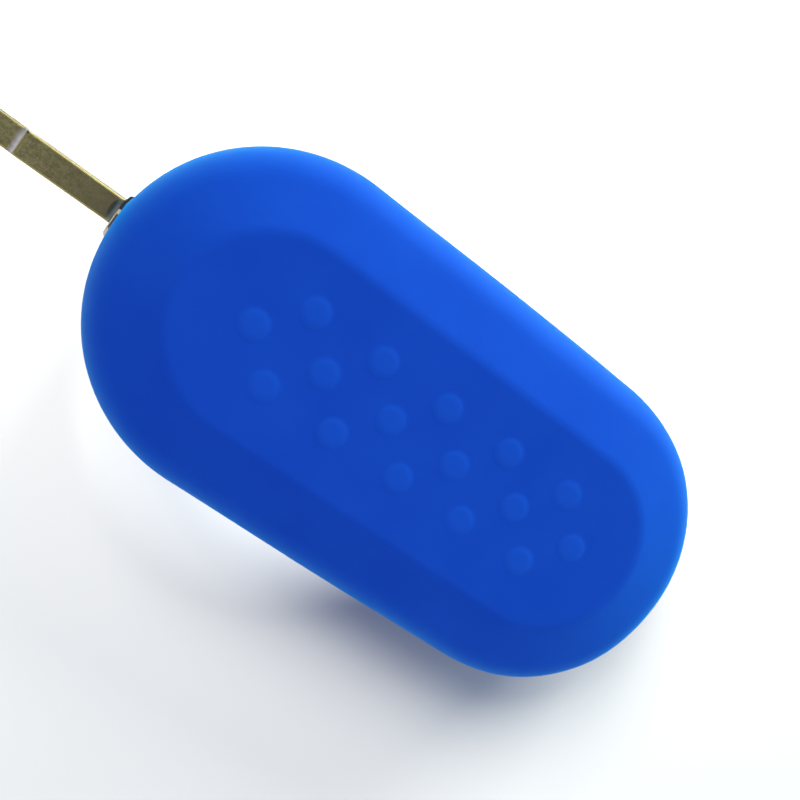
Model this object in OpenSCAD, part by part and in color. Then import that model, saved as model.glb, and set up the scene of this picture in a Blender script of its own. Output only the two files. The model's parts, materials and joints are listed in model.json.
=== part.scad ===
// Flip key in a moulded silicone cover.
// The part lies on its button face. The dotted back of the cover looks up (+Z),
// the open blade points along -X and folds into the channel on the +Y side.
// The origin is on the resting face, at the middle of the cover's outline.

/* [Cover] */
// Overall length of the silicone cover
cover_len = 74.4; // [70:0.2:84]
// Overall width of the silicone cover
cover_w = 38.5; // [36:0.1:44]
// Thickness of the covered key, without the dots
cover_h = 18.4; // [17:0.1:24]
// Wall of the silicone
cover_wall = 1.3; // [1:0.05:1.6]
// Play between the silicone and the key case
cover_gap = 0.15; // [0.05:0.01:0.3]
// Rim fullness on its way to the widest level, as a share of a sharp corner
rim_full_share = 0.62; // [0.5:0.01:0.7]

/* [Back of the cover] */
// Width of the flat panel between its creases
panel_w = 20.7; // [16:0.1:24]
// Slope of the flank that runs from the panel to the rim, in degrees
flank_slope = 19.6; // [12:0.2:26]
// Level run of that flank before the rim rounds off
flank_run = 4.9; // [3:0.1:6]
// Softness of the crease between panel and flank
crease_soft = 3.5; // [3:0.1:6]

/* [Dots] */
// Diameter of one moulded dot at its foot
dot_d = 3.3; // [2:0.1:4]
// Height of a dot's flat top over the panel
dot_h = 0.2; // [0.1:0.05:0.5]
// Width of the slope round that top
dot_slope = 0.35; // [0.2:0.05:0.6]
// Spacing of the dots along a row
dot_pitch = 8.08; // [6:0.02:8.6]
// Distance from the middle row to each outer row
dot_row_gap = 4.33; // [3.4:0.01:6]
// Number of dots in the middle row
dot_count = 6; // [3:1:6]
// Shift of the dot pattern along the cover
dot_shift_x = 0.13; // [-0.5:0.01:0.5]
// Shift of the dot pattern across the cover
dot_shift_y = 0.4; // [-0.5:0.01:0.5]

/* [Front of the cover] */
// Distance from the cover's widest outline in to the edge of the flat front face
front_inset = 3.25; // [2.75:0.05:5]
// Slope of the narrow flank round the front face, in degrees
front_slope = 30; // [20:1:40]
// Level run of that flank
front_run = 1.2; // [1:0.05:1.6]
// Softness of its crease
front_soft = 3; // [2:0.1:4]
// Height of the blade slot's lips past the channel in the case
slot_relief = 0.15; // [0.05:0.01:0.3]
// Start of the slot at the blade end, below the blade's centre line
slot_start = 6; // [5:0.05:7]

/* [Buttons] */
// Distance of the first pad from the wall of the electronics bay
pad_start = 2.45; // [1.5:0.05:4]
// Distance of the last pad from the bay's far end
pad_end = 5.65; // [4:0.05:8]
// Space between two pads
pad_space = 4.6; // [4:0.1:6]
// Width of a key pad
pad_w = 9; // [7:0.1:10]
// Corner radius of a key pad
pad_round = 3.8; // [2:0.1:4]
// Depth of the pads and of the release button below the front face
pad_sunk = 0.2; // [0.1:0.05:0.4]
// Travel of a pad
pad_travel = 0.5; // [0.3:0.05:0.6]
// Play round a sliding button
slide_gap = 0.15; // [0.08:0.01:0.25]
// Width of the shallow dish round each pad
dish_w = 0.9; // [0.6:0.1:1.4]
// Depth of that dish
dish_d = 0.35; // [0.1:0.05:0.5]
// Width of the flange that keeps a key cap in the case
flange_w = 0.8; // [0.5:0.1:1.2]
// Thickness of that flange
flange_t = 0.6; // [0.4:0.05:0.8]
// Play between a flange and the case
flange_gap = 0.1; // [0.05:0.01:0.2]

/* [Key case] */
// Wall of the case's floor and back
case_wall = 1.2; // [1:0.05:1.5]
// Wall at the widest level of the case
case_side = 2.4; // [2:0.1:3]
// Roof of the blade channel and of the hub pocket
roof_t = 1; // [0.8:0.05:1.4]
// Wall between the blade channel and the electronics bay
channel_wall = 0.9; // [0.7:0.05:1.2]
// Start of the electronics bay, from the hinge axis
bay_start = 9.4; // [8.6:0.1:11]

/* [Hinge and blade] */
// Distance of the hinge axis from the blade end of the cover
pivot_inset = 12.65; // [12:0.05:14]
// Centre line of the open blade, off the fob's middle
blade_y = 0.95; // [0:0.05:2]
// Centre line of the folded blade, in from the widest edge
fold_inset = 3.65; // [3.4:0.05:4]
// Thickness of the blade
blade_t = 2.9; // [2.2:0.05:3.2]
// Height of the blade's root
blade_h = 6; // [5.6:0.05:6.4]
// Distance of the folded blade's point from the cover's closed end
fold_end = 11.3; // [11.2:0.1:19]
// Length of the blade's full-height root
root_len = 11.4; // [8:0.1:14]
// Step from the root down to the rest of the blade, on each edge
step_d = 0.45; // [0.2:0.05:0.8]
// Radius of the hollow that the step is milled with
scoop_r = 1; // [0.8:0.05:1.6]
// Depth of that hollow below the lower edge
scoop_dip = 0.04; // [0.02:0.01:0.1]
// Bevel on the step's edge, to each side of it
step_cham = 0.12; // [0.06:0.01:0.16]
// Radius of the round dish in the root's edges, next to the collar
neck_r = 1.85; // [1.4:0.05:2.2]
// How far that dish reaches into the blade
neck_reach = 0.7; // [0.4:0.05:1]
// Depth of the dish at its middle
neck_d = 0.5; // [0.2:0.01:0.6]
// Chamfer along the blade's long edges
blade_cham = 0.18; // [0.1:0.01:0.4]
// Length of the blade's point
tip_len = 3.2; // [2:0.1:5]
// Width of the milled track on each side of the blade
track_w = 1.7; // [1:0.1:2]
// Depth of the track
track_d = 0.6; // [0.3:0.05:0.9]
// Play round the swinging blade and hub
swing_gap = 0.3; // [0.2:0.02:0.34]
// Diameter of the hub's barrel
barrel_d = 11.2; // [10:0.1:11.6]
// Width of the hub's arm, across the blade
arm_w = 6.8; // [6:0.1:7]
// How far the arm's end stands out of the cover
arm_proud = 0.75; // [0.4:0.05:0.9]
// How far that proud end reaches past the blade, on its fold side
arm_side = 0.8; // [0.4:0.05:1.2]
// Rounding of the arm's and the collar's outer corners
arm_round = 0.5; // [0.3:0.05:0.7]
// Thickness of the blade collar
collar_t = 1.3; // [0.8:0.1:2]
// Width of the blade collar past the blade, on its broad side
collar_side = 1.45; // [1:0.05:1.9]
// How far the blade collar reaches past the blade's centre line, on the fold side
collar_up = 0.4; // [0.2:0.05:1.2]
// Seam between the blade's root and the collar
seam_gap = 0.12; // [0.05:0.01:0.2]
// Diameter of the hub's rear journal
journal_d = 6; // [4:0.1:7]
// Length of the rear journal
journal_len = 2.1; // [1.5:0.1:3]
// Running clearance of the hub in the case
run_gap = 0.08; // [0.02:0.01:0.1]
// Length of the blade's tang inside the hub
tang_len = 8.6; // [7:0.1:9]
// Height of the tang
tang_h = 4.4; // [3.6:0.1:4.6]
// Diameter of the pin that holds the blade
pin_d = 1.6; // [1.2:0.1:2]
// Clearance of held pieces in their seats
seat_gap = 0.05; // [0.02:0.01:0.1]

/* [Release button] */
// Diameter of the release button
release_d = 7.8; // [7:0.1:8]
// Travel of the release button
release_travel = 1.5; // [1:0.1:2]
// Length of the release button
release_len = 5; // [4:0.1:5.4]
// Wall of the release button's skirt
release_wall = 0.75; // [0.6:0.05:0.9]
// Thickness of its face
release_face = 1.2; // [0.8:0.1:1.4]
// Bevel round the face
button_edge = 0.35; // [0.2:0.05:0.6]
// Depth of the finger dish in the face
button_dish = 0.3; // [0.1:0.05:0.5]
// Roof of the spring chamber in the hub
chamber_roof = 1.05; // [0.8:0.05:1.4]
// Wire of the flip spring
wire_d = 0.45; // [0.3:0.05:0.5]
// Turns of the flip spring
spring_turns = 6; // [4:1:6]

/* [Electronics] */
// Height of the circuit board over the case floor
board_lift = 3; // [2.9:0.05:3.4]
// Thickness of the circuit board
board_t = 0.8; // [0.6:0.1:1.2]
// Play round the circuit board
board_gap = 0.3; // [0.2:0.05:0.5]
// Side of a switch body
switch_w = 4.5; // [4:0.1:5.5]
// Height of a switch body
switch_h = 1.5; // [1.3:0.05:1.6]
// Diameter of a switch plunger
plunger_d = 2.2; // [1.6:0.1:2.8]
// Diameter of the coin cell
cell_d = 20; // [18:0.1:20.4]
// Height of the coin cell
cell_h = 3.2; // [2:0.1:3.6]
// Height of the contact under the cell
contact_h = 0.5; // [0.4:0.05:0.8]
// Thickness of the contact strips
strip_t = 0.25; // [0.15:0.01:0.3]
// Width of the contact strips
strip_w = 4; // [3:0.1:6]
// Diameter of a case screw's shank
screw_d = 2; // [1.6:0.1:2.2]
// Diameter of a case screw's head
head_d = 3.6; // [3.2:0.1:3.8]
// Height of a case screw's head
head_h = 1.2; // [0.8:0.1:1.6]
// Length of a case screw's shank
screw_len = 8; // [6:0.1:8.4]
// Length of the transponder
chip_len = 9; // [6:0.1:9.2]
// Width of the transponder
chip_w = 3.8; // [3:0.1:4]
// Height of the transponder
chip_h = 5; // [3:0.1:6]

/* [Hidden] */

$fn = 64;
over = 0.5;
crease_steps = 3;
rim_steps = 9;
edge_r = cover_w / 2;
front_w = cover_w - 2 * front_inset;
end_x = (cover_len - cover_w) / 2;
mid_z = cover_h / 2;
case_in = cover_wall + cover_gap;
floor_z = case_in + case_wall;
blade_z0 = floor_z + swing_gap;
blade_z1 = blade_z0 + blade_h;
blade_mid = (blade_z0 + blade_z1) / 2;
split_z = blade_z1 + swing_gap;
slab_z = split_z + roof_t;
cavity_r = edge_r - case_in - case_side;

fold_y = edge_r - fold_inset;
pivot_x = pivot_inset - cover_len / 2;
pivot_y = (blade_y + fold_y) / 2;
pivot = [pivot_x, pivot_y];
arm_low = blade_y - arm_w / 2;
arm_high = blade_y + arm_w / 2;
arm_r = edge_r + arm_proud;
arm_reach = pivot_x + end_x + arm_r;
root_r = arm_r + seam_gap;
root_x = -end_x - root_r;
step_x = -cover_len / 2 - root_len;
scoop_w = sqrt(pow(scoop_r, 2) - pow(scoop_r - step_d - scoop_dip, 2));
tip_x = fold_end + 2 * pivot_x - cover_len / 2;
fold_tip = 2 * pivot_x - tip_x;
channel_y = fold_y - blade_t / 2 - swing_gap;
bay_x = pivot_x + bay_start;
bay_y = channel_y - channel_wall;
arm_fold_y = 2 * pivot_y - arm_high - swing_gap;

release_r = release_d / 2;
ring_bore_r = release_r + slide_gap;
ring_r = ring_bore_r + case_wall * 2 / 3;
ring_z = floor_z - case_wall / 2 + seat_gap;
chamber_z = blade_z1 - chamber_roof;
spring_r = release_r - release_wall - wire_d / 2 - slide_gap;
spring_z0 = pad_sunk + release_face + wire_d / 2;
spring_z1 = chamber_z - wire_d / 2;

bay_end = end_x + cavity_r;
pad_len = (bay_end - pad_end - bay_x - pad_start - 2 * pad_space) / 3;
pad_r = min(pad_round, pad_len / 2 - seat_gap, pad_w / 2 - seat_gap);
pads_x = [for (i = [0:2]) bay_x + pad_start + pad_len / 2 + i * (pad_len + pad_space)];
cap_z1 = floor_z + flange_gap + flange_t;
board_z = floor_z + board_lift;
board_top = board_z + board_t;
switch_z = board_z - switch_h;
cell_x = (pads_x[1] + pads_x[2]) / 2;
cell_y = (bay_y - cavity_r) / 2;
cell_z = board_top + contact_h;
cell_top = cell_z + cell_h;
coil_share = 0.8;
coil_len = pad_w * coil_share;
coil_core_share = 0.85;
crystal_share = 0.29;
crystal_round_share = 0.4;
part_h = board_t * 1.5;
coil_r = board_t * 1.75;
cell_lip_share = 0.88;
boss_r = head_d / 2 + slide_gap + case_wall * 2 / 3;
pillar_r = screw_d / 2 + case_wall;
screw_ring = cavity_r - boss_r;
screw_turn = 38.7;
near_y = arm_low - swing_gap - case_wall - screw_d / 2;
screws = [[end_x + screw_ring * cos(screw_turn), -screw_ring * sin(screw_turn)],
          [end_x + screw_ring * cos(screw_turn), screw_ring * sin(screw_turn)],
          [-end_x - sqrt(pow(screw_ring, 2) - pow(near_y, 2)), near_y]];
back_drop = (screw_ring + head_d / 2 + slide_gap - panel_w / 2) * tan(flank_slope);
head_z = split_z + (cover_h - back_drop - case_in - head_h - split_z) / 2;
chip_bay_x = -end_x - chip_len;
chip_bay_y = near_y - screw_d / 2 - case_wall - chip_w;
post_r = case_wall;
post_y = pad_w / 2 + flange_w + post_r * 3;
rib_r = cell_d / 2 - case_wall;

// Edge of the fob from a flat face down to its widest level, inset by d, as [radius, depth]
function crease_point(face_r, slope, soft, d, a) =
    let (bend = max(soft - d, over))
    [face_r - soft * tan(slope / 2), d + bend] + bend * [sin(a), -cos(a)];

function curve(p0, p1, p2, p3, t) =
    pow(1 - t, 3) * p0 + 3 * pow(1 - t, 2) * t * p1 + 3 * (1 - t) * t * t * p2 + pow(t, 3) * p3;

function curve_dir(p0, p1, p2, p3, t) =
    let (v = pow(1 - t, 2) * (p1 - p0) + 2 * (1 - t) * t * (p2 - p1) + t * t * (p3 - p2))
    v / norm(v);

function rim_point(face_r, slope, run, d, t) =
    let (p0 = [face_r + run, run * tan(slope)],
         p3 = [edge_r, mid_z],
         corner = [edge_r, (edge_r - face_r) * tan(slope)],
         p1 = p0 + (corner - p0) * rim_full_share,
         p2 = p3 + (corner - p3) * rim_full_share,
         v = curve_dir(p0, p1, p2, p3, t))
    curve(p0, p1, p2, p3, t) + d * [-v.y, v.x];

function edge(face_r, slope, run, soft, d) =
    concat([for (i = [0:crease_steps]) crease_point(face_r, slope, soft, d, slope * i / crease_steps)],
           [for (i = [0:rim_steps]) rim_point(face_r, slope, run, d, i / rim_steps)]);

function back_edge(d) = [for (p = edge(panel_w / 2, flank_slope, flank_run, crease_soft, d))
                         [p.x, cover_h - p.y]];

function front_edge(d) = edge(front_w / 2, front_slope, front_run, front_soft, d);

function fob_half(d) =
    let (b = back_edge(d), f = front_edge(d))
    concat([[0, cover_h - d]], b, [for (i = [len(f) - 2:-1:0]) f[i]], [[0, d]]);

function back_half(d) = concat([[0, cover_h - d]], back_edge(d), [[0, mid_z]]);

// Sweep of a half section round the fob's two round ends and along its straight sides
module swept(half) {
    both = concat(half, [for (i = [len(half) - 1:-1:0]) if (half[i].x > 0) [-half[i].x, half[i].y]]);
    for (s = [-1, 1])
        translate([s * end_x, 0, 0])
            rotate([0, 0, -s * 90])
                rotate_extrude(angle = 180)
                    polygon(half);
    rotate([90, 0, 90])
        linear_extrude(2 * end_x, center = true)
            polygon(both);
}

// The fob's outer form, moved inwards by d
module fob(d) {
    swept(fob_half(d));
}

module band(z0, z1) {
    translate([-cover_len, -cover_w, z0])
        cube([2 * cover_len, 2 * cover_w, z1 - z0]);
}

module stadium(r) {
    for (s = [-1, 1])
        translate([s * end_x, 0])
            circle(r);
    square([2 * end_x, 2 * r], center = true);
}

module rounded(l, w, r) {
    square([l - 2 * r, w], center = true);
    square([l, w - 2 * r], center = true);
    for (x = [-1, 1], y = [-1, 1])
        translate([x * (l / 2 - r), y * (w / 2 - r)])
            circle(r);
}

module raised(z0, z1) {
    translate([0, 0, z0])
        linear_extrude(z1 - z0)
            children();
}

// A rectangle from one corner to the other
module patch(x0, y0, x1, y1) {
    translate([x0, y0])
        square([x1 - x0, y1 - y0]);
}

// Plan of the space that the hub, its arm and the blade swing through
module swing_plan() {
    translate(pivot)
        circle(barrel_d / 2 + swing_gap);
    patch(-cover_len, arm_low - swing_gap, pivot_x + swing_gap, cover_w);
    patch(pivot_x, arm_fold_y, pivot_x + arm_reach + swing_gap, cover_w);
    patch(pivot_x, channel_y, fold_tip + swing_gap, cover_w);
}

// Plan of the electronics bay, inset by gap, with a corner kept clear for the folded arm
module bay_plan(gap) {
    difference() {
        intersection() {
            stadium(cavity_r - gap);
            patch(bay_x + gap, -cover_w, cover_len, bay_y - gap);
        }
        patch(pivot_x, arm_fold_y - channel_wall - gap,
              pivot_x + arm_reach + swing_gap + channel_wall + gap, cover_w);
    }
}

// Outline of a key pad, grown by gap
module pad_plan(gap) {
    rounded(pad_len + 2 * gap, pad_w + 2 * gap, pad_r + gap);
}

module at_pad(i) {
    translate([pads_x[i], 0, 0])
        children();
}

module dot() {
    translate([0, 0, cover_h - dot_h])
        cylinder(d1 = dot_d + 2 * dot_slope, d2 = dot_d - 2 * dot_slope, h = 2 * dot_h);
}

module dot_row(n, y) {
    for (i = [0:n - 1])
        translate([(i - (n - 1) / 2) * dot_pitch + dot_shift_x, y + dot_shift_y, 0])
            dot();
}

module silicone_cover() {
    color([0.07, 0.27, 0.75])
        difference() {
            union() {
                fob(0);
                dot_row(dot_count, 0);
                dot_row(dot_count - 1, dot_row_gap);
                dot_row(dot_count - 1, -dot_row_gap);
            }
            fob(cover_wall);
            raised(floor_z - slot_relief, split_z + slot_relief) {
                patch(-cover_len, blade_y - slot_start, pivot_x, cover_w);
                patch(pivot_x - over, channel_y + slot_relief, fold_tip + slide_gap + swing_gap, cover_w);
            }
            for (i = [0:2])
                at_pad(i) {
                    raised(-over, case_in)
                        pad_plan(slide_gap);
                    raised(-over, dish_d)
                        pad_plan(dish_w);
                }
            translate([pivot_x, pivot_y, -over])
                cylinder(r = release_r + slide_gap * 2, h = mid_z);
        }
}

module front_case() {
    color([0.06, 0.06, 0.07])
        difference() {
            union() {
                difference() {
                    intersection() {
                        fob(case_in);
                        band(0, split_z);
                    }
                    raised(floor_z, split_z + over)
                        bay_plan(0);
                }
                for (i = [0, 1])
                    translate([screws[i].x, screws[i].y, floor_z - over])
                        cylinder(r = pillar_r, h = split_z - floor_z + over);
                for (i = [0, 1], y = [-1, 1])
                    translate([(pads_x[i] + pads_x[i + 1]) / 2, y * post_y, floor_z - over])
                        cylinder(r = post_r, h = board_z - floor_z + over);
            }
            raised(floor_z, split_z + over)
                swing_plan();
            raised(split_z - chip_h - swing_gap, split_z + over)
                patch(chip_bay_x - seat_gap, chip_bay_y - seat_gap,
                      chip_bay_x + chip_len + seat_gap, chip_bay_y + chip_w + seat_gap);
            for (i = [0:2])
                at_pad(i)
                    raised(0, floor_z + over)
                        pad_plan(slide_gap);
            translate([pivot_x, pivot_y, 0])
                cylinder(r = ring_bore_r, h = floor_z);
            translate([pivot_x, pivot_y, ring_z - seat_gap])
                cylinder(r = ring_r + run_gap, h = floor_z);
            for (s = screws)
                translate([s.x, s.y, head_z - screw_len - swing_gap])
                    cylinder(d = screw_d + 2 * seat_gap, h = cover_h);
        }
}

module rear_case() {
    color([0.06, 0.06, 0.07])
        difference() {
            union() {
                difference() {
                    intersection() {
                        fob(case_in);
                        band(split_z, cover_h);
                    }
                    intersection() {
                        swept(back_half(case_in + case_wall));
                        band(slab_z, cover_h);
                    }
                    raised(split_z - over, slab_z + over)
                        bay_plan(0);
                }
                intersection() {
                    fob(case_in);
                    union() {
                        for (s = screws)
                            translate([s.x, s.y, split_z])
                                cylinder(r = boss_r, h = cover_h);
                        translate([pivot_x, pivot_y, split_z])
                            cylinder(d = journal_d + 2 * case_wall, h = journal_len + case_wall);
                        translate([cell_x, cell_y, cell_top + strip_t + flange_gap])
                            difference() {
                                cylinder(r = rib_r, h = cover_h);
                                translate([0, 0, -over])
                                    cylinder(r = rib_r - case_wall, h = cover_h * 2);
                            }
                    }
                }
            }
            translate([pivot_x, pivot_y, split_z - over])
                cylinder(d = journal_d + 2 * run_gap, h = journal_len + over);
            for (s = screws)
                translate([s.x, s.y, 0]) {
                    cylinder(d = screw_d + 2 * seat_gap, h = cover_h);
                    translate([0, 0, head_z])
                        cylinder(d = head_d + 2 * seat_gap, h = cover_h);
                }
        }
}

module case_screws() {
    color([0.6, 0.6, 0.62])
        for (s = screws)
            translate([s.x, s.y, head_z])
                difference() {
                    union() {
                        cylinder(d = head_d, h = head_h);
                        translate([0, 0, -screw_len])
                            cylinder(d = screw_d, h = screw_len + head_h / 2);
                    }
                    for (a = [0, 90])
                        rotate([0, 0, a])
                            translate([-head_d / 3, -head_d / 12, head_h / 2])
                                cube([head_d * 2 / 3, head_d / 6, head_h]);
                }
}

// Plan of the arm or a part of it, between two radii about the fob's round end
module arm_end(r0, r1, y0, y1) {
    intersection() {
        patch(-cover_len, y0, pivot_x, y1);
        translate([-end_x, 0])
            difference() {
                circle(r1);
                if (r0 > 0) circle(r0);
            }
    }
}

// Plan of the arm up to the radius r1, from y0 to y1, with its outer corner at y1 rounded
module round_arm(r1, y0, y1) {
    yc = y1 + sign(y0 - y1) * arm_round;
    xc = -end_x - sqrt(pow(r1 - arm_round, 2) - yc * yc);
    yt = yc * r1 / (r1 - arm_round);
    arm_end(0, r1, min(y0, yt), max(y0, yt));
    patch(xc, min(yc, y1), pivot_x, max(yc, y1));
    translate([xc, yc])
        circle(arm_round);
}

module flip_hub() {
    color([0.05, 0.05, 0.055])
        difference() {
            union() {
                translate([pivot_x, pivot_y, blade_z0])
                    cylinder(d = barrel_d, h = blade_h);
                raised(blade_z0, blade_z1) {
                    arm_end(0, edge_r - slot_relief, arm_low, arm_high);
                    round_arm(arm_r, arm_low, blade_y + blade_t / 2 + arm_side);
                }
                translate([pivot_x, pivot_y, blade_z1 - over])
                    cylinder(d = journal_d, h = journal_len + swing_gap - seat_gap + over);
                translate([pivot_x, pivot_y, ring_z])
                    cylinder(r = ring_r, h = blade_h / 2);
            }
            raised(0, cover_h)
                arm_end(arm_r - collar_t, cover_len, -cover_w, blade_y + collar_up);
            translate([pivot_x, pivot_y, 0])
                cylinder(r = ring_bore_r, h = chamber_z);
            translate([-end_x - arm_r - over, blade_y - blade_t / 2 - seat_gap, blade_mid - tang_h / 2 - seat_gap])
                cube([tang_len + over + seat_gap, blade_t + 2 * seat_gap, tang_h + 2 * seat_gap]);
            blade_pin_hole();
        }
}

module blade_pin_hole() {
    translate([root_x + tang_len * 2 / 3, arm_low - over, blade_mid])
        rotate([-90, 0, 0])
            cylinder(d = pin_d + 2 * seat_gap, h = arm_w + 2 * over);
}

module blade_pin() {
    color([0.65, 0.65, 0.66])
        translate([root_x + tang_len * 2 / 3, arm_low + seat_gap, blade_mid])
            rotate([-90, 0, 0])
                difference() {
                    cylinder(d = pin_d, h = arm_w - 2 * seat_gap);
                    translate([0, 0, -over])
                        cylinder(d = pin_d / 2, h = arm_w + 2 * over);
                }
}

module blade_collar() {
    color([0.82, 0.79, 0.72])
        difference() {
            raised(blade_z0, blade_z1)
                round_arm(arm_r, blade_y + collar_up - seat_gap, blade_y - blade_t / 2 - collar_side);
            translate([-end_x, 0, 0])
                cylinder(r = arm_r - collar_t + seat_gap, h = cover_h);
            translate([-cover_len, blade_y - blade_t / 2 - seat_gap, blade_mid - tang_h / 2 - seat_gap])
                cube([cover_len, blade_t + 2 * seat_gap, tang_h + 2 * seat_gap]);
        }
}

// Section of the blade, with chamfered long edges, for a height h
module blade_section(h) {
    t = blade_t / 2;
    z = h / 2;
    c = blade_cham;
    polygon([[-t, -z + c], [-t + c, -z], [t - c, -z], [t, -z + c],
             [t, z - c], [t - c, z], [-t + c, z], [-t, z - c]]);
}

module blade_run(x0, x1, h) {
    translate([x0, blade_y, blade_mid])
        rotate([90, 0, 90])
            linear_extrude(x1 - x0)
                blade_section(h);
}

// Side view polygon, stood up and centred across the blade's thickness t
module blade_side(t) {
    translate([0, blade_y + t / 2, 0])
        rotate([90, 0, 0])
            linear_extrude(t)
                children();
}

// Places along the winding track, as shares of its length and of the height left for it
track_shares = [[0, 0.5], [0.16, 0.5], [0.3, 0.95], [0.45, 0.1], [0.62, 0.85], [0.8, 0.25], [1, 0.5]];

module track() {
    x0 = step_x - scoop_w - track_w;
    length = tip_x + tip_len - x0;
    room = blade_h - 2 * step_d - 2 * blade_cham - 2 * track_w;
    pts = [for (s = track_shares) [x0 + s.x * length, blade_mid + (s.y - 0.5) * room]];
    for (i = [0:len(pts) - 1])
        translate(pts[i])
            circle(d = track_w);
    for (i = [0:len(pts) - 2])
        let (v = pts[i + 1] - pts[i])
            translate(pts[i])
                rotate([0, 0, atan2(v.y, v.x)])
                    translate([0, -track_w / 2])
                        square([norm(v), track_w]);
}

module key_blade() {
    low_h = blade_h - 2 * step_d;
    scoop_x = step_x - scoop_w;
    point_x = tip_x + tip_len;
    ball_r = (neck_r * neck_r + neck_d * neck_d) / (2 * neck_d);
    color([0.45, 0.4, 0.22])
        difference() {
            union() {
                difference() {
                    blade_run(scoop_x, pivot_x, blade_h);
                    translate([-end_x, 0, 0])
                        cylinder(r = root_r, h = cover_h);
                }
                blade_run(point_x, scoop_x + over, low_h);
                intersection() {
                    blade_run(tip_x, point_x + over, low_h);
                    blade_side(blade_t)
                        polygon([[point_x + over, blade_mid - low_h / 2], [point_x, blade_mid - low_h / 2],
                                 [tip_x, blade_mid - low_h / 8], [tip_x, blade_mid + low_h / 8],
                                 [point_x, blade_mid + low_h / 2], [point_x + over, blade_mid + low_h / 2]]);
                }
                translate([root_x - over, blade_y - blade_t / 2, blade_mid - tang_h / 2])
                    cube([tang_len + over, blade_t, tang_h]);
            }
            for (s = [-1, 1]) {
                translate([0, s * (blade_t - track_d), 0])
                    blade_side(blade_t)
                        track();
                blade_side(blade_t + 2 * over)
                    polygon([[step_x + step_cham, blade_mid + s * blade_h / 2],
                             [step_x - step_cham, blade_mid + s * blade_h / 2],
                             [step_x - step_cham, blade_mid + s * (blade_h / 2 - step_cham)]]);
                translate([scoop_x, 0, blade_mid + s * (low_h / 2 + scoop_r - scoop_dip)])
                    rotate([90, 0, 0])
                        cylinder(r = scoop_r, h = cover_w, center = true);
                translate([root_x - neck_reach + neck_r, blade_y, blade_mid + s * (blade_h / 2 + ball_r - neck_d)])
                    sphere(ball_r);
            }
            blade_pin_hole();
        }
}

// One unbroken tube along a helix
function helix(i, n) =
    let (a = 360 * spring_turns * i / n)
    [spring_r * cos(a), spring_r * sin(a), spring_z0 + (spring_z1 - spring_z0) * i / n];

module flip_spring() {
    sides = 6;
    n = 12 * spring_turns;
    rings = [for (i = [0:n], k = [0:sides - 1])
             let (a = 360 * spring_turns * i / n, b = 360 * k / sides, c = helix(i, n))
             c + wire_d / 2 * [cos(b) * cos(a), cos(b) * sin(a), sin(b)]];
    walls = [for (i = [0:n - 1], k = [0:sides - 1])
             let (p = i * sides + k, q = i * sides + (k + 1) % sides)
             each [[p, q, p + sides], [q, q + sides, p + sides]]];
    ends = concat([for (k = [1:sides - 2]) [0, k + 1, k]],
                  [for (k = [1:sides - 2]) [n * sides, n * sides + k, n * sides + k + 1]]);
    color([0.7, 0.7, 0.72])
        translate([pivot_x, pivot_y, 0])
            polyhedron(rings, concat(walls, ends));
}

module release_button() {
    hollow_r = release_r - release_wall;
    ball_r = (hollow_r * hollow_r + button_dish * button_dish) / (2 * button_dish);
    color([0.12, 0.12, 0.13])
        translate([pivot_x, pivot_y, pad_sunk])
            difference() {
                union() {
                    cylinder(r1 = release_r - button_edge, r2 = release_r, h = button_edge);
                    translate([0, 0, button_edge])
                        cylinder(r = release_r, h = release_len - button_edge);
                }
                translate([0, 0, release_face])
                    cylinder(r = hollow_r, h = release_len);
                translate([0, 0, button_dish - ball_r])
                    sphere(ball_r);
            }
}

module key_pad(i) {
    color([0.07, 0.27, 0.75])
        at_pad(i)
            raised(pad_sunk, case_in)
                pad_plan(0);
}

module key_cap(i) {
    color([0.1, 0.1, 0.11])
        at_pad(i) {
            raised(case_in, cap_z1)
                pad_plan(0);
            raised(floor_z + flange_gap, cap_z1)
                pad_plan(flange_w);
        }
}

module plunger(i) {
    color([0.85, 0.85, 0.82])
        at_pad(i)
            translate([0, 0, cap_z1])
                cylinder(d = plunger_d, h = switch_z + switch_h / 3 - cap_z1);
}

module switch_body(i) {
    color([0.2, 0.2, 0.21])
        at_pad(i)
            difference() {
                raised(switch_z, board_z)
                    square(switch_w, center = true);
                translate([0, 0, switch_z - over])
                    cylinder(d = plunger_d + 2 * seat_gap, h = switch_h / 3 + pad_travel + seat_gap + over);
            }
}

module circuit_board() {
    color([0.05, 0.35, 0.16])
        raised(board_z, board_top)
            difference() {
                bay_plan(board_gap);
                for (i = [0, 1])
                    translate(screws[i])
                        circle(pillar_r + board_gap);
            }
}

module coin_cell() {
    color([0.75, 0.75, 0.76])
        translate([cell_x, cell_y, cell_z]) {
            cylinder(d = cell_d * cell_lip_share, h = cell_h / 2);
            translate([0, 0, cell_h / 6])
                cylinder(d = cell_d, h = cell_h * 5 / 6);
        }
}

module cell_contact() {
    l = strip_w * 1.5;
    color([0.8, 0.7, 0.4])
        translate([cell_x, cell_y + strip_w / 2, board_top])
            rotate([90, 0, 0])
                linear_extrude(strip_w)
                    polygon([[-l, 0], [-l / 2, 0], [0, contact_h - strip_t], [l, contact_h - strip_t],
                             [l, contact_h], [-strip_t / 2, contact_h], [-l / 2, strip_t], [-l, strip_t]]);
}

module cell_clip() {
    side = cell_d / 2 + board_gap;
    top = contact_h + cell_h;
    color([0.8, 0.7, 0.4])
        translate([cell_x, cell_y + strip_w / 2, board_top])
            rotate([90, 0, 0])
                linear_extrude(strip_w)
                    polygon([[-side - strip_w / 2, 0], [-side, 0], [-side, top], [-cell_d / 4, top],
                             [-cell_d / 4, top + strip_t], [-side - strip_t, top + strip_t],
                             [-side - strip_t, strip_t], [-side - strip_w / 2, strip_t]]);
}

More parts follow.
